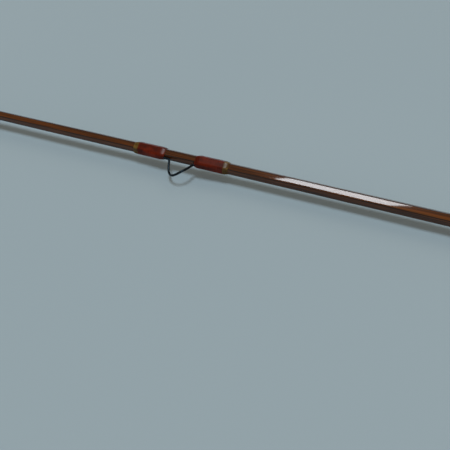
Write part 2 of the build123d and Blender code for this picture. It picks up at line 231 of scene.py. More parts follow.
def piece(name, parts, material, body, slot, nodes, sharp=38.0, merge=False, values=None):
    """One visible object from mesh parts, riding on its body and standing for its CAD nodes."""
    points, quads, triangles, offset = [], [], [], 0
    for part_points, part_quads, part_triangles in parts:
        points.append(part_points)
        quads.append(part_quads + offset)
        triangles.append(part_triangles + offset)
        offset += len(part_points)
    points, quads, triangles = np.vstack(points), np.vstack(quads), np.vstack(triangles)
    mesh = bpy.data.meshes.new(name)
    mesh.vertices.add(len(points))
    mesh.vertices.foreach_set("co", (points * MM).astype(np.float32).ravel())
    corners = np.concatenate([quads.ravel(), triangles.ravel()]).astype(np.int32)
    starts = np.concatenate([4 * np.arange(len(quads)),
                             4 * len(quads) + 3 * np.arange(len(triangles))])
    mesh.loops.add(len(corners))
    mesh.loops.foreach_set("vertex_index", corners)
    mesh.polygons.add(len(starts))
    mesh.polygons.foreach_set("loop_start", starts.astype(np.int32))
    mesh.update(calc_edges=True)
    for attribute, numbers in (values or {}).items():
        layer = mesh.attributes.new(attribute, "FLOAT", "POINT")
        layer.data.foreach_set("value", np.asarray(numbers, np.float32).ravel())
    bm = bmesh.new()
    bm.from_mesh(mesh)
    if merge:
        bmesh.ops.remove_doubles(bm, verts=bm.verts, dist=SAME_PLACE)
    bmesh.ops.recalc_face_normals(bm, faces=bm.faces)
    bm.to_mesh(mesh)
    bm.free()
    mesh.shade_smooth()
    mesh.set_sharp_from_angle(angle=math.radians(sharp))
    mesh.materials.append(material)
    obj = bpy.data.objects.new(name, mesh)
    bpy.context.scene.collection.objects.link(obj)
    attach(obj, body)
    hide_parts(*nodes)


# -------- materials
class Paint:
    """A Principled material that is put together node by node."""

    def __init__(self, name, **constants):
        self.material = bpy.data.materials.new(name)
        self.material.use_nodes = True
        self.tree = self.material.node_tree
        self.shader = self.tree.nodes["Principled BSDF"]
        for key, value in constants.items():
            self.shader.inputs[key.replace("_", " ")].default_value = value
        self.place = self.node("ShaderNodeTexCoord").outputs["Object"]

    def node(self, kind, inputs=None, **settings):
        made = self.tree.nodes.new(kind)
        for key, value in settings.items():
            setattr(made, key, value)
        for key, value in (inputs or {}).items():
            if isinstance(value, bpy.types.NodeSocket):
                self.tree.links.new(value, made.inputs[key])
            else:
                made.inputs[key].default_value = value
        return made

    def noise(self, scale, detail=3.0, roughness=0.55, distortion=0.0):
        """Noise with its own scale on each axis, in features per metre."""
        stretched = self.node("ShaderNodeMapping", {"Vector": self.place, "Scale": scale})
        return self.node("ShaderNodeTexNoise", {
            "Vector": stretched.outputs["Vector"], "Scale": 1.0, "Detail": detail,
            "Roughness": roughness, "Distortion": distortion}).outputs["Fac"]

    def ramp(self, value, stops):
        made = self.node("ShaderNodeValToRGB", {"Fac": value})
        elements = made.color_ramp.elements
        while len(elements) < len(stops):
            elements.new(0.5)
        for element, (position, colour) in zip(elements, stops):
            element.position = position
            element.color = (*colour, 1.0)
        return made.outputs["Color"]

    def scale(self, value, low, high, to_low=0.0, to_high=1.0):
        return self.node("ShaderNodeMapRange", {
            "Value": value, "From Min": low, "From Max": high,
            "To Min": to_low, "To Max": to_high}).outputs["Result"]

    def mix(self, share, a, b, blend="MIX"):
        made = self.node("ShaderNodeMix", data_type="RGBA", blend_type=blend)
        for socket, value in ((made.inputs[0], share), (made.inputs[6], a), (made.inputs[7], b)):
            if isinstance(value, bpy.types.NodeSocket):
                self.tree.links.new(value, socket)
            elif isinstance(value, (int, float)):
                socket.default_value = value
            else:
                socket.default_value = (*value, 1.0)
        return made.outputs[2]

    def math(self, operation, a, b=0.0):
        made = self.node("ShaderNodeMath", operation=operation)
        for socket, value in zip(made.inputs, (a, b)):
            if isinstance(value, bpy.types.NodeSocket):
                self.tree.links.new(value, socket)
            else:
                socket.default_value = value
        return made.outputs[0]

    def attribute(self, name):
        return self.node("ShaderNodeAttribute", attribute_name=name).outputs["Fac"]

    def join(self, key, value):
        self.tree.links.new(value, self.shader.inputs[key])

    def bump(self, height, distance, strength=1.0):
        made = self.node("ShaderNodeBump",
                         {"Height": height, "Distance": distance, "Strength": strength})
        self.join("Normal", made.outputs["Normal"])


def cane_material():
    """Flamed bamboo under varnish: long dark fibres in amber-brown, darker across the nodes."""
    paint = Paint("flamed_cane", Coat_Weight=0.95, Coat_Roughness=0.05, Coat_IOR=1.5,
                  Specular_IOR_Level=0.03)
    broad = paint.noise((9.0, 700.0, 700.0), detail=2.0)
    fibre = paint.noise((40.0, 2000.0, 2000.0), detail=4.0, roughness=0.65)
    colour = paint.ramp(broad, [(0.30, (0.064, 0.0170, 0.0018)), (0.52, (0.112, 0.0310, 0.0036)),
                                (0.72, (0.170, 0.0560, 0.0085))])
    streak = paint.ramp(fibre, [(0.36, (0.36, 0.33, 0.30)), (0.50, (0.92, 0.92, 0.92)),
                                (0.66, (1.60, 1.55, 1.4))])
    colour = paint.mix(1.0, colour, streak, "MULTIPLY")
    # Dark along each corner: a real glue line, widened into painted shade.
    colour = paint.mix(paint.attribute("seam"), colour, (0.016, 0.0045, 0.0015))
    colour = paint.mix(paint.attribute("growth"), colour, (0.020, 0.0075, 0.0025))
    paint.join("Base Color", colour)
    paint.join("Roughness", paint.scale(fibre, 0.3, 0.7, 0.42, 0.30))
    ripple = paint.math("ADD", paint.math("MULTIPLY", fibre, 0.5), broad)
    paint.bump(ripple, 0.00003, 1.0)
    return paint.material


def silk_material(name, dark, middle, bright):
    """Silk thread soaked in varnish, uneven where the varnish has made it clear."""
    paint = Paint(name, Coat_Weight=0.22, Coat_Roughness=0.22, Coat_IOR=1.5, Specular_IOR_Level=0.08)
    cloud = paint.noise((160.0, 420.0, 420.0), detail=2.0)
    thread = paint.noise((5200.0, 500.0, 500.0), detail=1.0)
    colour = paint.ramp(cloud, [(0.30, dark), (0.50, middle), (0.70, bright)])
    tone = paint.ramp(thread, [(0.35, (0.74, 0.72, 0.70)), (0.65, (1.22, 1.2, 1.2))])
    paint.join("Base Color", paint.mix(1.0, colour, tone, "MULTIPLY"))
    paint.join("Roughness", paint.scale(thread, 0.3, 0.7, 0.40, 0.30))
    paint.bump(thread, 0.000012, 0.35)
    return paint.material


def metal_material(name, colour, dull, low, high, grain=(160.0, 2600.0, 2600.0)):
    """Bare metal, dulled in soft patches, with fine drawing marks along the rod."""
    paint = Paint(name, Metallic=1.0)
    patch = paint.noise((90.0, 240.0, 240.0), detail=4.0)
    marks = paint.noise(grain, detail=2.0)
    paint.join("Base Color", paint.mix(paint.scale(patch, 0.40, 0.66), colour, dull))
    worn = paint.math("ADD", paint.math("MULTIPLY", patch, 0.6), paint.math("MULTIPLY", marks, 0.4))
    paint.join("Roughness", paint.scale(worn, 0.3, 0.7, low, high))
    paint.bump(marks, 0.000008, 0.35)
    return paint.material


def cork_material():
    """Cork: warm tan cells with darker speckles, and painted shade in the pits."""
    paint = Paint("cork", Specular_IOR_Level=0.25)
    cells = paint.noise((900.0, 900.0, 900.0), detail=4.0)
    specks = paint.noise((2600.0, 2600.0, 2600.0), detail=2.0)
    colour = paint.ramp(cells, [(0.32, (0.34, 0.205, 0.110)), (0.50, (0.52, 0.345, 0.200)),
                                (0.70, (0.66, 0.470, 0.300))])
    speckle = paint.ramp(specks, [(0.34, (0.50, 0.44, 0.38)), (0.46, (1.0, 1.0, 1.0))])
    colour = paint.mix(0.8, colour, speckle, "MULTIPLY")
    # Painted shade: the open pits are painted darker brown through the pit mask.
    colour = paint.mix(paint.attribute("pit"), colour, (0.130, 0.066, 0.032))
    grime = paint.noise((35.0, 90.0, 90.0), detail=3.0)
    colour = paint.mix(paint.scale(grime, 0.45, 0.75, 0.0, 0.55), colour, (0.23, 0.135, 0.072))
    paint.join("Base Color", colour)
    paint.join("Roughness", paint.scale(cells, 0.3, 0.7, 0.88, 0.68))
    paint.bump(cells, 0.00012, 0.5)
    return paint.material


def wood_material(name, dark, middle, bright, coat):
    """Figured hardwood with grain along the rod."""
    paint = Paint(name, Coat_Weight=coat, Coat_Roughness=0.12, Specular_IOR_Level=0.35)
    figure = paint.noise((26.0, 190.0, 190.0), detail=3.0, distortion=1.2)
    pores = paint.noise((150.0, 3200.0, 3200.0), detail=2.0)
    colour = paint.ramp(figure, [(0.30, dark), (0.50, middle), (0.70, bright)])
    pore = paint.ramp(pores, [(0.30, (0.35, 0.32, 0.30)), (0.44, (1.0, 1.0, 1.0))])
    paint.join("Base Color", paint.mix(0.85, colour, pore, "MULTIPLY"))
    paint.join("Roughness", paint.scale(figure, 0.3, 0.7, 0.5, 0.36))
    paint.bump(pores, 0.00003, 0.4)
    return paint.material


def agate_material():
    """Polished agate, with wavy rust and honey bands."""
    paint = Paint("agate", Coat_Weight=1.0, Coat_Roughness=0.03, Roughness=0.18)
    sway = paint.noise((260.0, 260.0, 260.0), detail=3.0, distortion=1.0)
    fine = paint.noise((900.0, 900.0, 900.0), detail=3.0)
    mixed = paint.math("ADD", paint.math("MULTIPLY", sway, 0.75), paint.math("MULTIPLY", fine, 0.25))
    paint.join("Base Color", paint.ramp(mixed, [
        (0.36, (0.16, 0.022, 0.008)), (0.45, (0.34, 0.070, 0.020)), (0.50, (0.52, 0.20, 0.060)),
        (0.54, (0.28, 0.045, 0.014)), (0.64, (0.60, 0.30, 0.12))]))
    paint.bump(fine, 0.000006, 0.2)
    return paint.material


CANE = cane_material()
SILK = silk_material("claret_silk", (0.052, 0.0046, 0.0006), (0.105, 0.0088, 0.0011),
                     (0.170, 0.0160, 0.0024))
TIPPING = silk_material("gold_silk", (0.045, 0.017, 0.004), (0.12, 0.066, 0.013), (0.26, 0.170, 0.040))
BLUED = metal_material("blued_wire", (0.020, 0.032, 0.044), (0.008, 0.013, 0.019), 0.30, 0.46)
NICKEL = metal_material("nickel_silver", (0.66, 0.62, 0.53), (0.46, 0.42, 0.34), 0.20, 0.40)
CORK = cork_material()
WALNUT = wood_material("walnut", (0.045, 0.018, 0.008), (0.115, 0.050, 0.020), (0.21, 0.105, 0.045), 0.8)
PLUG = wood_material("plug_wood", (0.20, 0.12, 0.06), (0.34, 0.22, 0.12), (0.48, 0.34, 0.20), 0.0)
AGATE = agate_material()


def nickel_piece(name, parts, body, node, **settings):
    """One visible object of nickel silver, standing for one CAD node."""
    piece(name, parts, NICKEL, body, "nickel_silver", [node], **settings)


# -------- cane strips
CORNER_ROUND = 0.36  # varnish rounds the hexagon's corners
SEAM_WIDTH = 0.07
SEAM_DEPTH = 0.03
DARK_EDGE = 0.24  # how far each corner's dark line runs in: a real glue line, widened with painted shade
CROWN = 0.045  # how far a flat stands out in its middle
PROUD = 0.03  # how far the varnish stands off the CAD cane
EDGE = 0.02  # the cane's cut shoulders take this much of its length
NODE_PITCH = 330.0  # between two growth nodes of one strip
NODE_SWELL, NODE_SPREAD = 0.045, 3.2
NODE_LINE, NODE_BAND = 0.55, 1.3  # half widths of a node's dark line and of the band beside it
BAND_AWAY = 2.2
TAN30 = math.tan(math.radians(30))


def face_positions():
    """Places across a strip's flat, from -1 to 1, crowded towards its two corners."""
    inner = np.linspace(0, 0.82, 6)
    outer = np.array([0.87, 0.91, 0.945, 0.97, 0.985, 1.0])
    half = np.concatenate([inner, outer])
    return np.concatenate([-half[:0:-1], half])


ACROSS = face_positions()


def cane_strip(section, number, body, first_node, turned_down):
    """One of the six strips: a wedge with a crowned, varnished face and its growth nodes."""
    node = f"{section}_cane_strip_{number}"
    start, end = reach(node)
    growth = np.arange(first_node, end, NODE_PITCH)
    growth = growth[growth > start]
    close = [g + np.linspace(-7, 7, 43) for g in growth]
    edges = [v for a, b, _ in turned_down for v in (a - EDGE, a + EDGE, b - EDGE, b + EDGE)]
    d = np.concatenate([np.arange(start, end, 4.0), *close, edges, [end]])
    d = np.unique(np.clip(d, start, end))
    size = flats(d)[:, None]
    u = ACROSS[None, :]
    angle = math.radians(60 * number)
    wave = 7.0 * number
    swell = np.zeros_like(d)
    dark = np.zeros((len(d), len(ACROSS)))
    for g in growth:
        swell += NODE_SWELL * np.exp(-((d - g) / NODE_SPREAD) ** 2)
        ragged = g + 0.5 * np.sin(9 * u + g) + 0.3 * np.sin(23 * u + 2 * g)
        dark = np.maximum(dark, np.exp(-((d[:, None] - ragged) / NODE_LINE) ** 2))
        dark = np.maximum(dark, 0.55 * np.exp(-((d[:, None] - ragged - BAND_AWAY) / NODE_BAND) ** 2))
    uneven = 0.012 * np.sin(d / 17.0 + wave) + 0.008 * np.sin(d / 7.3 + 2 * wave)
    # Varnish rounds the corners, and a fine seam runs along each of them.
    edge_distance = size / 2 * TAN30 * (1 - np.abs(u))
    overlap = np.clip(CORNER_ROUND * TAN30 - edge_distance, 0, None)
    drop = CORNER_ROUND - np.sqrt(CORNER_ROUND ** 2 - overlap ** 2)
    drop = drop + SEAM_DEPTH * np.clip(1 - edge_distance / SEAM_WIDTH, 0, 1) + CROWN * u ** 2
    out = size / 2 + PROUD - drop + (swell + uneven)[:, None] * (1 - u ** 4)
    along_face = u * out[:, -1:] * TAN30
    radius = np.hypot(out, along_face)
    # Inside the ferrules the cane is turned down to a round.
    limit = np.full(len(d), np.inf)
    for a, b, turned_radius in turned_down:
        limit[(d >= a) & (d <= b)] = turned_radius
    shrink = np.minimum(1.0, limit[:, None] / radius)
    turn = (angle + twist(d))[:, None]
    y = (out * np.cos(turn) - along_face * np.sin(turn)) * shrink
    z = (out * np.sin(turn) + along_face * np.cos(turn)) * shrink
    x = np.repeat(-d[:, None], len(ACROSS), axis=1)
    rim = np.stack([x, y, z], axis=-1)
    axis = np.stack([-d, 0 * d, 0 * d], axis=-1)[:, None, :]
    rings = np.concatenate([rim, axis], axis=1)
    # seam: a real glue line at each corner, widened into painted shade.
    seam = np.clip(1.2 - edge_distance / DARK_EDGE, 0, 1)
    on_axis = np.zeros((len(d), 1))
    values = {key: np.append(np.concatenate([value, on_axis], axis=1), [0, 0])
              for key, value in (("seam", seam), ("growth", dark))}
    piece(f"{section}_strip_{number}", [skin(rings)], CANE, body, "varnished_cane", [node], sharp=50,
          values=values)


female_start, ferrule_mouth = reach("female_ferrule")
male_end, male_socket_end = reach("male_ferrule")
SOCKET = 2.58  # the cane's radius inside the ferrules' cane ends
MALE_BORE = 2.06  # and inside the narrower slide
cane_shoulder = ferrule_mouth + 1.3  # where the tip section's cane narrows for the slide
BUTT_NODES = (175.0, 65.0, 120.0, 285.0, 340.0, 230.0)  # the first growth node of each strip
TIP_NODES = (1195.0, 1140.0, 1250.0, 1305.0, 1360.0, 1415.0)
for k in range(6):
    cane_strip("butt", k + 1, "butt_section", BUTT_NODES[k], [(female_start, ferrule_mouth, SOCKET)])
    cane_strip("tip", k + 1, "tip_section", TIP_NODES[k],
               [(male_end, cane_shoulder, MALE_BORE), (cane_shoulder, male_socket_end, SOCKET)])


# -------- convex outlines
NORMALS = np.linspace(0, TURN, 360, endpoint=False)
GRAZING = 0.05  # a side that faces a direction less than this doesn't bound it


def outline(theta, support):
    """Radius at each angle of the convex outline that has this support value at each normal."""
    facing = np.cos(theta[:, None] - NORMALS[None, :])
    reach_out = np.where(facing > GRAZING, support[None, :] / np.maximum(facing, GRAZING), np.inf)
    return reach_out.min(axis=1)


def support_of(points):
    """Support values of the hull round some (y, z) points."""
    points = np.asarray(points, float)
    return (points[:, :1] * np.cos(NORMALS) + points[:, 1:] * np.sin(NORMALS)).max(axis=0)


# -------- thread wraps
THREAD = 0.22  # pitch of the thread's turns
THREAD_RIDGE = 0.003
TIPPING_LENGTH = 2.1
SILK_BUILD = 0.42  # silk and varnish over the cane
FILM = 0.05  # what is left of that at a wrap's very ends
WRAP_RAMP = 2.1  # the length over which it builds up
WRAP_BED = 0.12  # how far a wrap's inside lies in the cane
WRAP_SIDES = 60
WRAP_ROUND = 0.2  # radius that the varnish leaves on a wrap's corners


def wrap_part(start, end, wrap_start, wrap_end, build, foot):
    """Part of a wrap, as a sleeve on the cane: ridged thread, raised over a foot if there is one."""
    count = max(int((end - start) / THREAD * 5), 12)
    theta = np.linspace(0, TURN, WRAP_SIDES, endpoint=False)
    outer, inner = [], []
    d = np.linspace(start, end, count)
    ramp = min(WRAP_RAMP, 0.2 * (wrap_end - wrap_start))
    for station in d:
        size = float(flats(station))
        turn = float(twist(station))
        from_end = min(station - wrap_start, wrap_end - station)
        rise = min(max(from_end / ramp, 0.0), 1.0)
        rise = math.sin(rise * math.pi / 2) ** 0.8
        thick = FILM + (build - FILM) * rise
        corners = [(math.cos(math.radians(30 + 60 * k) + turn) / math.sqrt(3),
                    math.sin(math.radians(30 + 60 * k) + turn) / math.sqrt(3)) for k in range(6)]
        bare = support_of(corners) * size
        grown = size + 2 * (thick - WRAP_ROUND)
        points = [(grown * y, grown * z) for y, z in corners]
        if foot:
            width, height = foot(station)
            top = -(grown / 2 + height)
            half_width = width / 2 + thick - WRAP_ROUND
            points += [(top, half_width), (top, -half_width)]
        radius = outline(theta, support_of(points) + WRAP_ROUND)
        turns = station / THREAD * math.pi + theta / 2
        ridge = THREAD_RIDGE * min(1.0, rise * 1.2) * (np.abs(np.cos(turns)) - 0.6)
        outer.append(radius + ridge)
        inner.append(outline(theta, bare) - WRAP_BED)
    outer, inner = np.array(outer), np.array(inner)
    d_rows = np.concatenate([d, d[::-1]])
    r_rows = np.concatenate([outer, inner[::-1]])
    return lathe(d_rows[None, :], r_rows.T)


def wraps(name, node, spans, build, body, tipped, foot=None):
    """Silk wraps on one node, each tipped with a few turns of gold at the ends that are named."""
    red, gold = [], []
    for (start, end), ends in zip(spans, tipped):
        low = start + (TIPPING_LENGTH if "low" in ends else 0.0)
        high = end - (TIPPING_LENGTH if "high" in ends else 0.0)
        red.append(wrap_part(low, high, start, end, build, foot))
        if low > start:
            gold.append(wrap_part(start, low, start, end, build, foot))
        if high < end:
            gold.append(wrap_part(high, end, start, end, build, foot))
    piece(f"{name}_silk", red, SILK, body, "silk_wrap", [node], sharp=60)
    if gold:
        piece(f"{name}_tipping", gold, TIPPING, body, "silk_wrap", [node], sharp=60)


def ridge_over_foot(middle, foot_end, ramp, wide, high, power=0.7):
    """A function from a place along the rod to the width and height of the silk over a guide's foot."""
    def foot(station):
        share = min(max((foot_end - abs(station - middle)) / ramp, 0.0), 1.0)
        return wide * share ** 0.3, high * share ** power
    return foot


# -------- snake guides
# Sizes are those of guide 5. The others are the same drawing, larger or smaller.
LOOP_HALF, LOOP_SHIFT, LOOP_HEIGHT, LOOP_SIDE = 5.05, 1.05, 7.3, 1.65
LOOP_BULGE, LOOP_BUNCH, LEAD = 0.78, 0.41, 0.3
WIRE_RADIUS = 0.45
FOOT_REACH = 16.4
FOOT_WIDE, FOOT_THIN = 1.5, 0.16  # a foot's tip, flattened and ground thin
FOOT_SPARE = 0.06  # the foot's root is this much thicker than the wire
RIDGE_RAMP = 9.0  # the silk climbs the foot over this length
RIDGE_WIDE, RIDGE_HIGH = 1.1, 0.76
WRAP_INNER, WRAP_OUTER = 6.6, 20.6
LEANS = {5: 10.0}  # degrees by which a guide leans to one side
GUIDE_BODIES = {7: "butt_section"}


def snake_wire(d, size, lean, radius):
    """One length of wire: a ground foot, up and over in an S, and the other foot."""
    tilt = math.radians(lean)
    full = 2 * radius + FOOT_SPARE
    ends = (d + FOOT_REACH * size, d + (LOOP_HALF - LOOP_SHIFT + LEAD) * size,
            d - (LOOP_HALF + LOOP_SHIFT + LEAD) * size, d - FOOT_REACH * size)

    def foot_points(tip, root):
        rows = []
        for s in np.linspace(0, 1, 24):
            where = tip + (root - tip) * s
            grown = min(1.0, s * 1.1)
            high = FOOT_THIN + (full - FOOT_THIN) * grown
            wide = FOOT_WIDE * size + (full - FOOT_WIDE * size) * grown ** 2
            rows.append((-where, -(flats(where) / 2 + PROUD + high / 2), 0.0, wide / 2, high / 2))
        return rows

    rows = foot_points(ends[0], ends[1])
    for t in np.linspace(0.02, 0.98, 70):
        along = (LOOP_SHIFT - LOOP_HALF) * size + 2 * LOOP_HALF * size * (
            t - LOOP_BUNCH * math.sin(TURN * t) / TURN)
        rise = LOOP_HEIGHT * size * math.sin(math.pi * t) ** LOOP_BULGE
        side = -LOOP_SIDE * size * math.sin(TURN * t)
        base = flats(d - along) / 2 + radius + PROUD
        rows.append((along - d, -base - rise * math.cos(tilt) - side * math.sin(tilt),
                     -rise * math.sin(tilt) + side * math.cos(tilt), radius, radius))
    rows += foot_points(ends[3], ends[2])[::-1]
    path = smooth_path(rows, 0.12, 14)
    return tube(path[:, :3], path[:, 3], path[:, 4], sides=24, power=2.3)


for number in range(1, 8):
    node = f"snake_guide_{number}"
    low, high = reach(node)
    d = (low + high) / 2
    size = (high - low) / (2 * FOOT_REACH)
    radius = WIRE_RADIUS * math.sqrt(size)
    body = GUIDE_BODIES.get(number, "tip_section")
    wire = snake_wire(d, size, LEANS.get(number, 0.0), radius)
    piece(f"snake_wire_{number}", [wire], BLUED, body, "guide_wire", [node], sharp=70)
    full = 2 * radius + FOOT_SPARE
    foot = ridge_over_foot(d, FOOT_REACH * size, RIDGE_RAMP * size, RIDGE_WIDE * size, RIDGE_HIGH * full)
    spans = [(d - WRAP_OUTER * size, d - WRAP_INNER * size),
             (d + WRAP_INNER * size, d + WRAP_OUTER * size)]
    wraps(f"guide_{number}", f"{node}_wraps", spans, SILK_BUILD * math.sqrt(size), body,
          ("low", "high"), foot)


# -------- stripping guide
ring_low, ring_high = reach("stripping_guide_ring")
ring_d = (ring_low + ring_high) / 2
ring_flat = float(flats(ring_d)) / 2
ring_y = -(ring_flat + 11.5)
AGATE_OUTER, AGATE_INNER, AGATE_WIDTH = 6.0, 4.5, 3.6
BEZEL_INNER, BEZEL_OUTER, BEZEL_WIDTH = 6.02, 7.02, 3.0
BEZEL_GROOVE, GROOVE_HALF = 0.12, 0.5
LEG, LEG_ANGLE, LEG_TOP = 0.65, math.radians(50), 6.6  # radius, and where it leaves the bezel
LEG_FOOT, FOOT_OVERLAP, FOOT_END = 13.0, 1.2, 24.0
ROOT_HIGH, TIP_HIGH = 1.4, 0.22
STRIPPER_WRAP = 15.5

half = BEZEL_WIDTH / 2
bezel = soften(mirrored(ring_d, [(half, BEZEL_INNER, 0.1), (half, BEZEL_OUTER, 0.45),
                                 (GROOVE_HALF, BEZEL_OUTER - BEZEL_GROOVE, 0.2)]))
parts = [turned(bezel, 120, centre_y=ring_y)]
for side in (-1, 1):
    for along in (-1, 1):
        top = (along * 0.9 - ring_d, ring_y + LEG_TOP * math.cos(LEG_ANGLE),
               side * LEG_TOP * math.sin(LEG_ANGLE))
        knee = (along * 8.2 - ring_d, ring_y + 9.6, side * 2.1)
        low = (along * LEG_FOOT - ring_d, -(ring_flat + 0.75), side * 0.62)
        end = (along * (LEG_FOOT + 2.0) - ring_d, -(ring_flat + 0.62), side * 0.5)
        leg = smooth_path([top, knee, low, end], 0.3, 60)
        parts.append(tube(leg, LEG, LEG, sides=18))
for along in (-1, 1):
    rows = []
    for s in np.linspace(0, 1, 30):
        where = ring_d + along * (LEG_FOOT - FOOT_OVERLAP + (FOOT_END - LEG_FOOT + FOOT_OVERLAP) * s)
        high = ROOT_HIGH + (TIP_HIGH - ROOT_HIGH) * s ** 0.9
        wide = 2.7 - 0.9 * s ** 2
        rows.append((-where, -(flats(where) / 2 + PROUD + high / 2), 0.0, wide / 2, high / 2))
    rows = np.array(rows)
    parts.append(tube(rows[:, :3], rows[:, 3], rows[:, 4], sides=28, power=3.0))
nickel_piece("stripping_guide_bezel", parts, "butt_section", "stripping_guide_frame")

half = AGATE_WIDTH / 2
agate = soften(mirrored(ring_d, [(half, AGATE_INNER, 1.1), (half, AGATE_OUTER, 0.25)]), steps=8)
piece("agate_ring", [turned(agate, 120, centre_y=ring_y)], AGATE, "butt_section", "agate",
      ["stripping_guide_ring"])

low, high = reach("stripping_guide_wraps")
spans = [(low, low + STRIPPER_WRAP), (high - STRIPPER_WRAP, high)]
wraps("stripping_guide", "stripping_guide_wraps", spans, SILK_BUILD, "butt_section", ("low", "high"),
      ridge_over_foot(ring_d, FOOT_END, RIDGE_RAMP, 2.2, 1.15, 0.8))


# -------- hook keeper
low, high = reach("hook_keeper_strap")
keeper_d = (low + high) / 2
keeper_flat = float(flats(keeper_d)) / 2
KEEPER_REACH = 9.0
# From a foot's tip up to the middle of the eye: (from the middle, off the flat, half width, half height)
STRAP = ((KEEPER_REACH, 0.12, 0.7, 0.1), (6.0, 0.34, 0.6, 0.32), (3.6, 0.53, 0.53, 0.5),
         (2.4, 0.53, 0.5, 0.5), (1.7, 0.62, 0.5, 0.5), (1.6, 2.0, 0.5, 0.5), (0.9, 2.72, 0.5, 0.5),
         (0.0, 2.78, 0.5, 0.5))
rows = [(-keeper_d - where, -(keeper_flat + lift), 0.0, wide, high) for where, lift, wide, high in STRAP]
rows += [(-2 * keeper_d - x, *rest) for x, *rest in rows[-2::-1]]
path = smooth_path(rows, 0.12, 10)
nickel_piece("keeper_strap", [tube(path[:, :3], path[:, 3], path[:, 4], sides=20, power=2.3)],
             "butt_section", "hook_keeper_strap", sharp=70)

KEEPER_WIRE, KEEPER_MEAN = 0.4, 3.6  # the ring's wire radius and its mean radius
KEEPER_HANG = 1.25  # from the flat to the ring's nearest wire
nickel_piece("keeper_ring", [torus(keeper_d, KEEPER_MEAN, KEEPER_WIRE, 16,
                                   -(keeper_flat + KEEPER_HANG + KEEPER_MEAN))],
             "hook_keeper_ring", "hook_keeper_ring")

KEEPER_WRAP = 7.0
low, high = reach("hook_keeper_wraps")
wraps("keeper", "hook_keeper_wraps", [(low, low + KEEPER_WRAP), (high - KEEPER_WRAP, high)], SILK_BUILD,
      "butt_section", ("low", "high"), ridge_over_foot(keeper_d, KEEPER_REACH, 5.0, 1.1, 0.9))


# -------- ferrule
FERRULE_OUTER, FERRULE_BORE, SLIDE, WELT = 3.1, 2.6, 2.58, 3.6
TAB_LENGTH, TAB_THIN = 8.0, 0.26
SLIT_HALF, SLIT_DEPTH = 0.16, 0.3
SLIDE_END, SLIDE_BORE = 1.1, 2.08  # the slide's closed end and the bore behind it
TAB_STEP = 0.4  # profile steps where the slits are cut


def tabs(cut_from, cut_to):
    """Six slits that make the tabs at a ferrule's cane end."""
    way = 1 if cut_to > cut_from else -1

    def form(theta, d, r):
        across = np.abs(np.mod(theta / TURN * 6 + 0.5, 1.0) - 0.5) * TURN / 6 * FERRULE_OUTER
        slit = np.clip(1.4 - across / SLIT_HALF, 0, 1)
        inside = np.clip(way * (cut_to - d) / 0.6, 0, 1)
        thin = TAB_THIN * np.clip(1 - np.abs(d - cut_from) / TAB_LENGTH, 0, 1)
        outside = r > FERRULE_BORE + 0.2
        return np.where(outside, r - SLIT_DEPTH * slit * inside - thin * (inside > 0), r)
    return form


def ring_groove(d):
    """A shallow turned groove 0.8 mm long, from d on."""
    return [(d, FERRULE_OUTER, 0.1), (d + 0.2, FERRULE_OUTER - 0.1, 0.1),
            (d + 0.6, FERRULE_OUTER - 0.1, 0.1), (d + 0.8, FERRULE_OUTER, 0.1)]


female = soften([(female_start, FERRULE_BORE, 0), (female_start, FERRULE_OUTER, 0.12),
                 *ring_groove(ferrule_mouth - 14.0), (ferrule_mouth - 4.2, FERRULE_OUTER, 0.2),
                 (ferrule_mouth - 3.9, WELT, 0.25), (ferrule_mouth, WELT, 0.4),
                 (ferrule_mouth, FERRULE_BORE, 0.1)])
female = refine(female, TAB_STEP, female_start - 1, female_start + 40)
nickel_piece("ferrule_socket", [turned(female, 180, tabs(female_start, female_start + TAB_LENGTH))],
             "butt_section", "female_ferrule", sharp=30)

shoulder = ferrule_mouth + 0.3
male = soften([(male_end, 0, 0), (male_end, SLIDE, 0.3), (shoulder, SLIDE, 0.05),
               (shoulder, FERRULE_OUTER, 0.25), *ring_groove(shoulder + 3.0),
               (male_socket_end, FERRULE_OUTER, 0.12), (male_socket_end, FERRULE_BORE, 0),
               (cane_shoulder, FERRULE_BORE, 0), (cane_shoulder, SLIDE_BORE, 0),
               (male_end + SLIDE_END, SLIDE_BORE, 0), (male_end + SLIDE_END, 0, 0)], closed=False)
male = refine(male, TAB_STEP, male_socket_end - 20, male_socket_end + 1)
male_tabs = tabs(male_socket_end, male_socket_end - TAB_LENGTH)
nickel_piece("ferrule_slide", [turned(male, 180, male_tabs, closed=False)], "tip_section",
             "male_ferrule", sharp=30, merge=True)

for name, body in (("female_ferrule_wrap", "butt_section"), ("male_ferrule_wrap", "tip_section"),
                   ("tip_top_wrap", "tip_section")):
    low, high = reach(name)
    build = 0.25 if name == "tip_top_wrap" else SILK_BUILD
    ends = "high" if name == "male_ferrule_wrap" else "low"
    wraps(name.replace("_wrap", "_winding"), name, [(low, high)], build, body, (ends,))


# -------- tip-top
tube_start, tube_end = reach("tip_top_tube")
TOP_TUBE, TOP_BORE, TOP_LOOP, TOP_WIRE, TOP_STRUT = 1.5, 1.08, 2.7, 0.45, 0.36
profile = soften([(tube_start, TOP_BORE, 0), (tube_start, TOP_TUBE, 0.15),
                  (tube_end - 0.4, TOP_TUBE, 0.2), (tube_end, TOP_TUBE - 0.5, 0.3), (tube_end, 0, 0)],
                 closed=False)
profile = [np.array([tube_end - 1.0, 0.0]), np.array([tube_end - 1.0, TOP_BORE])] + profile
nickel_piece("tip_top_sleeve", [turned(profile, 72, closed=False)], "tip_section", "tip_top_tube",
             merge=True)

loop_d = ROD - TOP_WIRE
parts = [torus(loop_d, TOP_LOOP, TOP_WIRE, 18, -TOP_LOOP)]
for side in (-1, 1):
    strut = smooth_path([(-loop_d + 0.1, -3.2, side * 2.62), (-loop_d + 2.6, -2.7, side * 2.1),
                         (-loop_d + 7.0, -1.2, side * 0.9)], 0.2, 16)
    parts.append(tube(strut, TOP_STRUT, TOP_STRUT, sides=16))
nickel_piece("tip_top_ring", parts, "tip_section", "tip_top_loop")


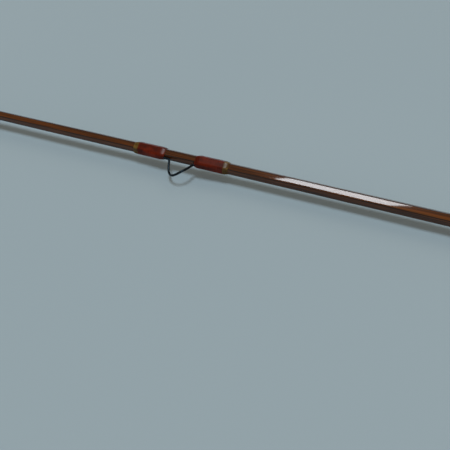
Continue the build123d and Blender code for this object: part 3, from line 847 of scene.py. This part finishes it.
# -------- reel seat
SEAT, SEAT_FLAT, TENON, CANE_BORE = 8.2, 6.7, 6.0, 4.46
PITCH = 1.5  # the lock nut moves this far for each turn
THREAD_DEPTH, KNURL_DEPTH = 0.55, 0.38


def flat_side(theta, r):
    """The same radius, cut back to the flat that the reel's foot lies on."""
    facing = -np.cos(theta)
    return np.where(facing > GRAZING, np.minimum(r, SEAT_FLAT / np.maximum(facing, GRAZING)), r)


cap_end = reach("butt_cap")[1]
CAP, CAP_FLOOR = 10.4, 4.0
profile = soften([(0, 0, 0), (0.35, 0.6, 0.3), (0.35, 5.6, 0.3), (0.0, 6.2, 0.3), (0, CAP - 0.4, 1.7),
                  (1.9, CAP, 0.5), (5.2, CAP, 0.15), (5.45, CAP - 0.22, 0.12), (5.9, CAP - 0.22, 0.12),
                  (6.15, CAP, 0.15), (cap_end, CAP, 0.35), (cap_end, SEAT + 0.02, 0.15),
                  (CAP_FLOOR, SEAT + 0.02, 0), (CAP_FLOOR, 0, 0)], closed=False)
nickel_piece("seat_cap", [turned(profile, 144, closed=False)], "butt_section", "butt_cap", merge=True)

barrel_start, barrel_end = reach("threaded_barrel")
thread_from, thread_to = cap_end + 1.2, barrel_end - 1.2


def thread_form(theta, d, r):
    phase = np.mod(d / PITCH - theta / TURN, 1.0)
    groove = np.clip(1.25 - np.abs(phase - 0.5) / 0.24, 0, 1)
    live = np.clip((d - thread_from) / 0.8, 0, 1) * np.clip((thread_to - d) / 0.8, 0, 1)
    cut = np.where(r > TENON + 1.0, r - THREAD_DEPTH * groove * live, r)
    shaped = np.where(d > cap_end - 0.05, flat_side(theta, cut), cut)
    return np.where(r > TENON + 1.0, shaped, r)


profile = soften([(barrel_start, TENON + 0.02, 0), (barrel_start, SEAT, 0), (barrel_end, SEAT, 0.2),
                  (barrel_end, TENON + 0.02, 0)])
profile = refine(profile, 0.1)
nickel_piece("seat_barrel", [turned(profile, 144, thread_form)], "butt_section", "threaded_barrel",
             sharp=30)

insert_start, insert_end = reach("wood_insert")
CANE_START = 12.0  # the bottom of the bore for the cane


def insert_form(theta, d, r):
    flat = (d > barrel_end - 0.01) & (d < insert_end - 2.0) & (r > TENON + 0.5)
    return np.where(flat, flat_side(theta, r), r)


profile = soften([(insert_start, 0, 0), (insert_start, TENON, 0.2), (barrel_end + 0.02, TENON, 0),
                  (barrel_end + 0.02, SEAT, 0.2), (insert_end, SEAT, 0), (insert_end, CANE_BORE, 0),
                  (CANE_START, CANE_BORE, 0), (CANE_START, 0, 0)], closed=False)
profile = refine(profile, 1.0, barrel_end, insert_end)
piece("seat_wood", [turned(profile, 144, insert_form, closed=False)], WALNUT, "butt_section",
      "seat_wood", ["wood_insert"], merge=True)

nut_start, nut_end = reach("lock_nut")
nut_middle = (nut_start + nut_end) / 2
NUT = 10.6
KNURLS = 44


def knurl_form(theta, d, r):
    tooth = np.mod(theta / TURN * KNURLS, 1.0)
    groove = np.clip(1.2 - np.abs(tooth - 0.5) / 0.2, 0, 1)
    live = np.clip((d - nut_start - 0.5) / 0.3, 0, 1) * np.clip((nut_end - 0.5 - d) / 0.3, 0, 1)
    waist = np.abs(d - nut_middle) < 0.55
    return np.where((r > NUT - 0.45) & ~waist, r - KNURL_DEPTH * groove * live, r)


nut_half = (nut_end - nut_start) / 2
profile = soften(mirrored(nut_middle, [
    (nut_half, SEAT + 0.1, 0.1), (nut_half, NUT - 0.3, 0.35), (nut_half - 0.5, NUT, 0.2),
    (0.6, NUT, 0.08), (0.5, NUT - 0.4, 0.08)]))
profile = refine(profile, 0.25, nut_start + 0.4, nut_end - 0.4)
nickel_piece("knurled_nut", [turned(profile, KNURLS * 10, knurl_form)], "lock_nut", "lock_nut", sharp=30)

HOOD_RISE, HOOD_CROWN, HOOD_WALL, HOOD_BACK = 4.8, 7.3, 1.1, 2.0


def hood(name, node, body, closed_low, gap):
    """A drawn metal hood: a round over the seat and a higher round over the reel's foot."""
    low, high = reach(node)
    theta = np.linspace(0, TURN, 180, endpoint=False)

    def shell(seat_extra, crown_extra):
        crown = -HOOD_RISE * np.cos(NORMALS) + HOOD_CROWN + crown_extra
        return outline(theta, np.maximum(SEAT + seat_extra, crown))

    outer = shell(0.1 + HOOD_WALL, HOOD_WALL)
    pocket = shell(gap, 0.0)
    bore = np.full(len(theta), SEAT + gap)
    back, mouth = (low, high) if closed_low else (high, low)
    way = 1 if closed_low else -1
    rows = [(back, bore), (back, outer - 0.75), (back + way * 0.2, outer - 0.4),
            (back + way * 0.6, outer - 0.12), (back + way * 1.3, outer), (mouth - way * 2.0, outer),
            (mouth - way * 0.35, outer), (mouth - way * 0.1, outer - 0.12), (mouth, outer - 0.35),
            (mouth, pocket + 0.3), (mouth - way * 0.15, pocket + 0.08), (mouth - way * 0.4, pocket),
            (back + way * HOOD_BACK, pocket), (back + way * HOOD_BACK, bore)]
    d = np.array([row[0] for row in rows])
    r = np.stack([row[1] for row in rows], axis=1)
    nickel_piece(name, [lathe(d[None, :], r)], body, node, sharp=40)


hood("reel_hood_sliding", "sliding_hood", "sliding_hood", True, 0.1)
hood("reel_hood_fixed", "fixed_hood", "butt_section", False, 0.02)


# -------- cork grip
CORKS = 12
JOINT_DEPTH, JOINT_HALF = 0.07, 0.12
HOLLOW_DEPTH, HOLLOW_CELLS, HOLLOW_FROM = 0.42, (2.1, 1.3, 1.3), 0.76
SMALL_DEPTH, SMALL_CELLS, SMALL_FROM = 0.2, (0.8, 0.7, 0.7), 0.80
UNEVENNESS = 0.04
CORK_APART = 31.7  # moves the noise on, so that no two rings are alike
grip_start = reach("cork_ring_01")[0]
grip_end = reach(f"cork_ring_{CORKS}")[1]


def grip_radius(d):
    """The cigar's radius: a long swell that narrows towards the winding check."""
    s = (d - grip_start) / (grip_end - grip_start)
    return (9.9 + 3.6 * np.sin(math.pi * (0.12 + 0.78 * s))) * (1 - 0.27 * s)


def cork_ring(number):
    """One ring of cork, sanded to the grip's outline, with open pits and a fine joint line."""
    node = f"cork_ring_{number:02d}"
    low, high = reach(node)
    steps, along = 220, 52
    theta = np.linspace(0, TURN, steps, endpoint=False)[:, None]
    d_outer = low + (high - low) * np.linspace(0, 1, along)
    d_outer = np.sort(np.concatenate([d_outer, [low + 0.06, high - 0.06]]))
    radius = grip_radius(d_outer)[None, :] + 0 * theta
    joint = np.minimum(d_outer - low, high - d_outer)
    radius = radius - JOINT_DEPTH * np.clip(1 - joint / JOINT_HALF, 0, 1)[None, :]
    place = np.stack([d_outer[None, :] + 0 * theta, radius * np.cos(theta), radius * np.sin(theta)],
                     axis=-1)
    place = place + number * CORK_APART
    warp = np.stack([noise(place, 1.1, seed) for seed in (5, 6, 7)], axis=-1) * 1.6
    hollow = np.clip((noise(place + warp, HOLLOW_CELLS, 11) - HOLLOW_FROM) / 0.10, 0, 1)
    small = np.clip((noise(place + warp, SMALL_CELLS, 23) - SMALL_FROM) / 0.10, 0, 1)
    # pit also carries the painted shade that the cork material puts into these hollows.
    pit = np.maximum(hollow, 0.6 * small)
    radius = radius - HOLLOW_DEPTH * hollow - SMALL_DEPTH * small - UNEVENNESS * noise(place, 6.0, 3)
    d = np.concatenate([d_outer, [high, low]])
    bore = np.full((steps, 2), CANE_BORE)
    rows = np.concatenate([radius, bore], axis=1)
    pit = np.concatenate([pit, np.zeros((steps, 2))], axis=1)
    piece(f"cork_{number:02d}", [lathe(d[None, :], rows)], CORK, "butt_section", "cork", [node],
          sharp=45, values={"pit": pit})


for number in range(1, CORKS + 1):
    cork_ring(number)

check_start, check_end = reach("winding_check")
check_radius = float(grip_radius(check_start)) - 0.4
profile = soften([(check_start, CANE_BORE, 0), (check_start, check_radius, 0.25),
                  (check_start + 0.9, check_radius, 0.3), (check_end, check_radius - 1.6, 0.3),
                  (check_end, CANE_BORE, 0.1)])
nickel_piece("grip_check", [turned(profile, 120)], "butt_section", "winding_check")

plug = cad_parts["water_plug"]
plug.data.materials.clear()
plug.data.materials.append(PLUG)


# -------- floor, light and camera
GUIDE_D = sum(reach("snake_guide_5")) / 2
REST_1 = (170.0, -12.06)  # the rod rests on its grip and on its tip-top
REST_2 = (2133.5, -3.15)
WAVE = 1.1  # how far the paper lifts and dips
WAVE_LENGTH, WAVE_SPREAD = 600.0, 250.0
FAR = 40000.0  # the paper's edges
SKY_LOW = (0.38, (0.265, 0.275, 0.28))  # a level in the sky, 0 to 1, and its colour
SKY_HIGH = (0.60, (0.330, 0.242, 0.168))
CAMERA_FROM_GUIDE = (0.070376, -0.140191, 0.120393)  # metres
CAMERA_DOWN, CAMERA_TURN, CAMERA_WIDE = 45.635, 20.2017, 50.0  # degrees


def floor_height(d):
    """Height of the flat paper, so that it bears the rod at both of its rests."""
    return REST_1[1] + (REST_2[1] - REST_1[1]) * (d - REST_1[0]) / (REST_2[0] - REST_1[0])


def add_floor():
    """A tilted sheet of paper that lifts and dips a little near the fifth guide."""
    near = np.arange(-600.0, 601.0, 20.0)
    d = np.concatenate([[-FAR], GUIDE_D + near, [FAR]])[:, None]
    y = np.concatenate([[-FAR], near, [FAR]])[None, :]
    beyond = GUIDE_D - d
    fade = np.exp(-(beyond / WAVE_SPREAD) ** 2 - (y / WAVE_SPREAD) ** 2)
    lift = WAVE * np.sin(TURN * beyond / WAVE_LENGTH) * fade
    x = -d + 0 * y
    sheet = np.stack([x, y + 0 * x, floor_height(d) + lift], axis=-1)
    points, quads, _ = grid(sheet, False, False)
    mesh = bpy.data.meshes.new("floor")
    mesh.from_pydata((points * MM).tolist(), [], quads.tolist())
    mesh.shade_smooth()
    paint = Paint("pale_paper", Roughness=0.9, Specular_IOR_Level=0.1)
    cloud = paint.noise((3.0, 3.0, 3.0), detail=2.0)
    paint.join("Base Color", paint.ramp(cloud, [(0.3, (0.413, 0.567, 0.663)),
                                                (0.7, (0.433, 0.587, 0.683))]))
    mesh.materials.append(paint.material)
    obj = bpy.data.objects.new("floor", mesh)
    bpy.context.scene.collection.objects.link(obj)


def area_light(name, place, target, size, power, colour):
    """A rectangular light at a place, turned to its target. Places are in metres."""
    light = bpy.data.lights.new(name, "AREA")
    light.shape = "RECTANGLE"
    light.size, light.size_y = size
    light.energy = power
    light.color = colour
    obj = bpy.data.objects.new(name, light)
    obj.location = place
    aim = Vector(target) - Vector(place)
    obj.rotation_euler = aim.to_track_quat("-Z", "Y").to_euler()
    bpy.context.scene.collection.objects.link(obj)


def add_sky():
    """Light from all round: cool from level down, and warm from above."""
    world = bpy.data.worlds.new("studio")
    bpy.context.scene.world = world
    world.use_nodes = True
    sky = world.node_tree.nodes
    height = sky.new("ShaderNodeSeparateXYZ")
    fade = sky.new("ShaderNodeValToRGB")
    for element, (position, colour) in zip(fade.color_ramp.elements, (SKY_LOW, SKY_HIGH)):
        element.position = position
        element.color = (*colour, 1.0)
    direction = sky.new("ShaderNodeTexCoord").outputs["Generated"]
    world.node_tree.links.new(direction, height.inputs["Vector"])
    world.node_tree.links.new(height.outputs["Z"], fade.inputs["Fac"])
    world.node_tree.links.new(fade.outputs["Color"], sky["Background"].inputs["Color"])
    sky["Background"].inputs["Strength"].default_value = 1.0


def add_camera(guide_x):
    """The camera, looking down on the fifth guide from the side of the loop."""
    camera_data = bpy.data.cameras.new("camera")
    camera_data.sensor_width = 36.0
    camera_data.angle = math.radians(CAMERA_WIDE)
    camera_data.clip_start = 0.005
    camera = bpy.data.objects.new("camera", camera_data)
    x, y, z = CAMERA_FROM_GUIDE
    camera.location = (guide_x + x, y, z)
    camera.rotation_euler = (math.radians(90 - CAMERA_DOWN), 0.0, math.radians(CAMERA_TURN))
    bpy.context.scene.collection.objects.link(camera)
    bpy.context.scene.camera = camera


add_floor()
gx = -GUIDE_D * MM
area_light("softbox", (gx - 0.04, -0.33, 3.0), (gx + 0.01, 0, 0), (0.76, 0.95), 32.5, (0.92, 0.96, 1.0))
area_light("fill", (gx + 0.5, 2.4, 2.6), (gx + 0.3, 0, 0), (2.6, 2.0), 9.0, (1.0, 0.85, 0.75))
add_sky()
bpy.context.scene.view_settings.view_transform = "Standard"
add_camera(gx)
